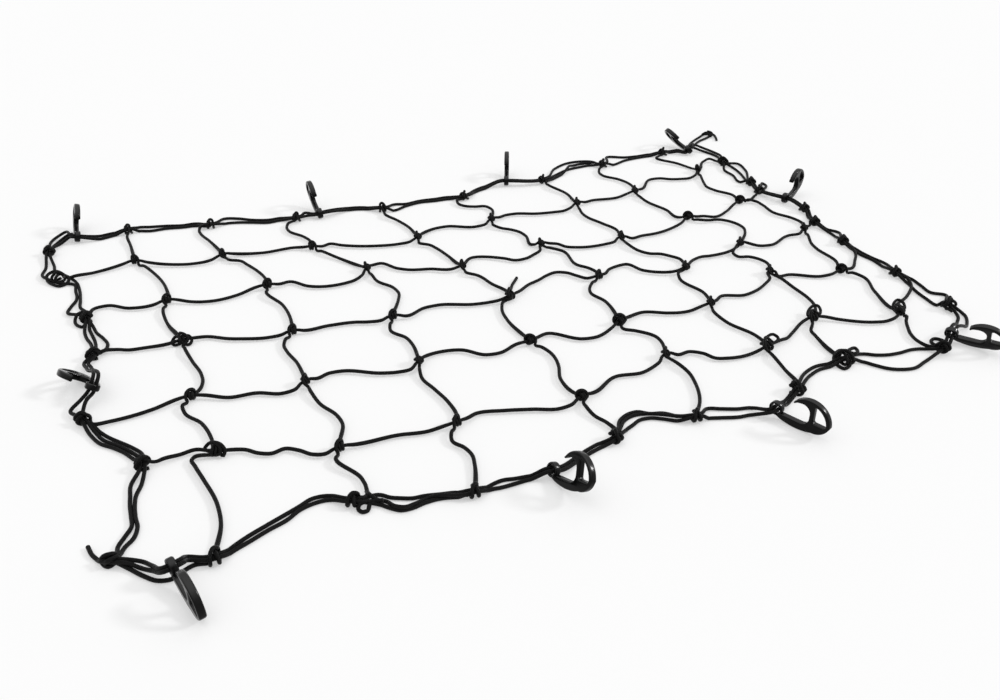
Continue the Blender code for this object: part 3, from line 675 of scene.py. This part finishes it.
# Hooks: flat black nylon mouldings with rounded edges, an eye for the border strands, a beak and
# a window in the head.  Each hangs on the border by its eye and stands on its edge.
hook_thick, hook_edge = 6.0, 1.4
eye_hole, eye_outer = 4.4, 6.5
head_centre, head_radius = (31.6, 3.0), 20.0
heel_centre, heel_radius = (36.2, 7.6), 15.6
shank_top, shank_under = -2.7, [(7.5, -8.7), (18.7, -10.3), (28.9, -9.7)]
beak_tip, beak_under = [(15.6, 14.9), (15.5, 14.2), (15.9, 13.6)], [(17.2, 14.0), (19.3, 15.4)]
throat_face, throat_high, throat_arc = 31.8, 9.2, 7.1
web, window_floor, window_rim, window_corner = 4.0, 2.0, 3.6, 1.8
eye_end, roof_start = 281, 100          # degrees at which the outline's arcs begin and end
heel_start, heel_end = -90, -24
head_start, head_end = 2, 139
rim_clear = 4                           # degrees that the window's corners take off its rim
hook_stance = {          # shank's heading on the floor, its lift and the lean to its right, degrees
    "rear_left": (87, 9, 15), "rear_mid_left": (90, 15, -6), "rear_mid_right": (65, 10, 0),
    "rear_right": (92, 6, -40), "right": (29, 12, 0), "front_right": (303, 1, 24),
    "front_mid_right": (291, 0, 0), "front_mid_left": (281, 17, -18), "front_left": (284, -14, 4),
    "left": (104, -14, -55),
}


def arc(centre, radius, start, stop, parts):
    """Points of an arc between two angles in degrees."""
    turns = np.radians(np.linspace(start, stop, parts + 1))
    return [(centre[0] + radius * math.cos(a), centre[1] + radius * math.sin(a)) for a in turns]


def bent(points, parts):
    """Points of a smooth bend through a few places of the outline."""
    p = [np.array(q, float) for q in points]
    out = []
    for i in range(len(p) - 1):
        a, b, c, d = p[max(i - 1, 0)], p[i], p[i + 1], p[min(i + 2, len(p) - 1)]
        for k in range(parts):
            s = k / parts
            out.append(0.5 * (2 * b + (c - a) * s + (2 * a - 5 * b + 4 * c - d) * s**2
                              + (3 * b - a - 3 * c + d) * s**3))
    return [tuple(q) for q in out] + [tuple(p[-1])]


def hook_shape():
    """Outer edge, eye and window of the hook, from the middle of its eye."""
    shank_start = math.degrees(math.asin(shank_top / eye_outer))
    edge = arc((0, 0), eye_outer, shank_start, eye_end, parts=36)
    heel = arc(heel_centre, heel_radius, heel_start, heel_end, parts=14)
    edge += bent([edge[-1], *shank_under, heel[0]], parts=5)[1:-1] + heel
    edge += arc(head_centre, head_radius, head_start, head_end, parts=44)
    high = (throat_face - throat_arc, throat_high)
    low = (throat_face - throat_arc, shank_top + throat_arc)
    roof = arc(high, throat_arc, roof_start, 0, parts=16)
    edge += beak_tip + bent([beak_tip[-1], *beak_under, roof[0]], parts=3)[1:-1] + roof
    edge += arc(low, throat_arc, 0, -90, parts=14)
    rim = head_radius - window_rim
    c = window_corner
    left, floor = throat_face + web, window_floor + c
    reach = rim - c
    right = head_centre[0] + math.sqrt(reach**2 - (floor - head_centre[1]) ** 2)
    top = head_centre[1] + math.sqrt(reach**2 - (left + c - head_centre[0]) ** 2)
    first = math.degrees(math.atan2(floor - head_centre[1], right - head_centre[0]))
    last = math.degrees(math.atan2(top - head_centre[1], left + c - head_centre[0]))
    window = arc((left + c, floor), c, 180, 270, parts=8)
    window += arc((right, floor), c, 270, 360 + first, parts=8)
    window += arc(head_centre, rim, first + rim_clear, last - rim_clear, parts=16)
    window += arc((left + c, top), c, last, 180, parts=8)
    return edge, arc((0, 0), eye_hole, 0, 360, parts=48)[:-1], window


def moulded_nylon():
    """Black nylon with a fine moulded grain, and a painted highlight that makes it more specular on
    its upper edges.
    """
    made, tree, surface = new_material("moulded_nylon")
    where = tree.nodes.new("ShaderNodeTexCoord")
    grain = added(tree, "ShaderNodeTexNoise", Scale=1500.0, Detail=3.0)
    rub = added(tree, "ShaderNodeTexNoise", Scale=90.0, Detail=5.0)
    for noise in (grain, rub):
        tree.links.new(where.outputs["Object"], noise.inputs["Vector"])
    tint = tints(tree, (0.3, (0.0015, 0.0015, 0.0017)), (0.8, (0.0040, 0.0039, 0.0038)))
    tree.links.new(rub.outputs["Fac"], tint.inputs["Fac"])
    tree.links.new(tint.outputs["Color"], surface.inputs["Base Color"])
    rough = added(tree, "ShaderNodeMapRange", From_Min=0.3, From_Max=0.75, To_Min=0.15, To_Max=0.3)
    tree.links.new(rub.outputs["Fac"], rough.inputs["Value"])
    tree.links.new(rough.outputs["Result"], surface.inputs["Roughness"])
    bump = added(tree, "ShaderNodeBump", Strength=0.35, Distance=0.00006)
    tree.links.new(grain.outputs["Fac"], bump.inputs["Height"])
    tree.links.new(bump.outputs["Normal"], surface.inputs["Normal"])
    # Painted highlight: the specular level rises where the surface faces up or down, which lights
    # the hooks' edges.
    facing = tree.nodes.new("ShaderNodeSeparateXYZ")
    tree.links.new(where.outputs["Normal"], facing.inputs["Vector"])
    painted_highlight = added(tree, "ShaderNodeMapRange", From_Min=0.4, From_Max=0.8, To_Min=0.1, To_Max=0.45)
    tree.links.new(maths(tree, "ABSOLUTE", facing.outputs["Z"]), painted_highlight.inputs["Value"])
    tree.links.new(painted_highlight.outputs["Result"], surface.inputs["Specular IOR Level"])
    return made


shape = bpy.data.curves.new("hook_shape", "CURVE")
shape.dimensions = "2D"
shape.fill_mode = "BOTH"
shape.extrude = (hook_thick / 2 - hook_edge) * MM
shape.bevel_depth = hook_edge * MM
shape.bevel_resolution = 4
shape.offset = -hook_edge * MM
for edge in hook_shape():
    line = shape.splines.new("POLY")
    line.points.add(len(edge) - 1)
    for point, (x, y) in zip(line.points, edge):
        point.co = (x * MM, y * MM, 0.0, 1.0)
    line.use_cyclic_u = True
holder = placed("hook_shape", shape)
bpy.context.view_layer.update()
solid = holder.evaluated_get(bpy.context.evaluated_depsgraph_get())
hook_mesh = bpy.data.meshes.new_from_object(solid)
bpy.data.objects.remove(holder, do_unlink=True)
weld_gap, hook_crease = 0.00001, math.radians(40)
weld = bmesh.new()
weld.from_mesh(hook_mesh)
bmesh.ops.remove_doubles(weld, verts=weld.verts, dist=weld_gap)
bmesh.ops.recalc_face_normals(weld, faces=weld.faces)
weld.to_mesh(hook_mesh)
weld.free()
hook_mesh.materials.clear()
hook_mesh.materials.append(moulded_nylon())
hook_mesh.shade_smooth()
hook_mesh.set_sharp_from_angle(angle=hook_crease)
for name, (heading, lift, lean) in hook_stance.items():
    a, b, c = math.radians(heading), math.radians(lift), math.radians(lean)
    side = Vector((math.sin(a), -math.cos(a), 0.0))
    shank = Vector((math.cos(a) * math.cos(b), math.sin(a) * math.cos(b), math.sin(b)))
    upright = side.cross(shank)
    beak = upright * math.cos(c) + side * math.sin(c)
    stance = Matrix((shank, beak, shank.cross(beak))).transposed().to_4x4()
    stance.translation = Vector(hinge[name]["pos_m"])
    mesh = hook_mesh.copy()
    mesh.transform(stance)
    piece = placed(f"{name}_hook", mesh)
    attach(piece, f"hook_{name}")
    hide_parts(f"hook_{name}")

# Floor and light: a wide white floor that runs out of sight under a studio's even light from above
# and a broad soft lamp from the right, which lays faint shadows to the left.
far, floor_under = 30.0, 0.0002         # in metres: its half width, and just below the cords
floor_mesh = bpy.data.meshes.new("floor")
floor_mesh.from_pydata([(-far, -far, 0), (far, -far, 0), (far, far, 0), (-far, far, 0)], [],
                       [(0, 1, 2, 3)])
floor = placed("floor", floor_mesh)
floor.location.z = -floor_under

# The camera and the gloss see a share of plain white in the floor; all else sees only its paint.
white_share = 0.42
white_floor, tree, paint = new_material("white_floor")
paint.inputs["Base Color"].default_value = (0.93, 0.93, 0.93, 1.0)
paint.inputs["Roughness"].default_value = 0.9
paint.inputs["Specular IOR Level"].default_value = 0.0
bright = added(tree, "ShaderNodeEmission", Strength=1.0)
ray = tree.nodes.new("ShaderNodeLightPath")
seen = maths(tree, "MAXIMUM", ray.outputs["Is Camera Ray"], ray.outputs["Is Glossy Ray"])
seen = maths(tree, "MAXIMUM", seen, ray.outputs["Is Transmission Ray"])
mix = tree.nodes.new("ShaderNodeMixShader")
tree.links.new(maths(tree, "MULTIPLY", seen, white_share), mix.inputs[0])
tree.links.new(paint.outputs[0], mix.inputs[1])
tree.links.new(bright.outputs[0], mix.inputs[2])
tree.links.new(mix.outputs[0], tree.nodes["Material Output"].inputs["Surface"])
floor_mesh.materials.append(white_floor)

# Brightness of the studio by height, from the horizon at 0 to straight above at 1.
at_horizon, at_top = 1.0, 1.22
part_way_up = {0.08: 0.98, 0.22: 0.5, 0.5: 0.6}
world = bpy.data.worlds.new("studio")
bpy.context.scene.world = world
world.use_nodes = True
sky = world.node_tree
studio = sky.nodes["Background"]
toward = sky.nodes.new("ShaderNodeTexCoord")
height = sky.nodes.new("ShaderNodeSeparateXYZ")
level = sky.nodes.new("ShaderNodeValToRGB")
for place, strength in part_way_up.items():
    level.color_ramp.elements.new(place).color = (strength, strength, strength, 1.0)
for end, strength in ((0, at_horizon), (-1, at_top)):
    level.color_ramp.elements[end].color = (strength, strength, strength, 1.0)
sky.links.new(toward.outputs["Generated"], height.inputs[0])
sky.links.new(height.outputs[2], level.inputs["Fac"])
sky.links.new(level.outputs["Color"], studio.inputs["Color"])
studio.inputs["Strength"].default_value = 1.0

lamp = placed("soft_lamp", bpy.data.lights.new("soft_lamp", "SUN"))
lamp.data.energy = 1.05
lamp.data.angle = math.radians(9)
shining = Vector((-0.80, 0.26, -0.54))
lamp.rotation_euler = shining.to_track_quat("-Z", "Y").to_euler()

bpy.context.scene.view_settings.view_transform = "Standard"

bpy.context.view_layer.update()
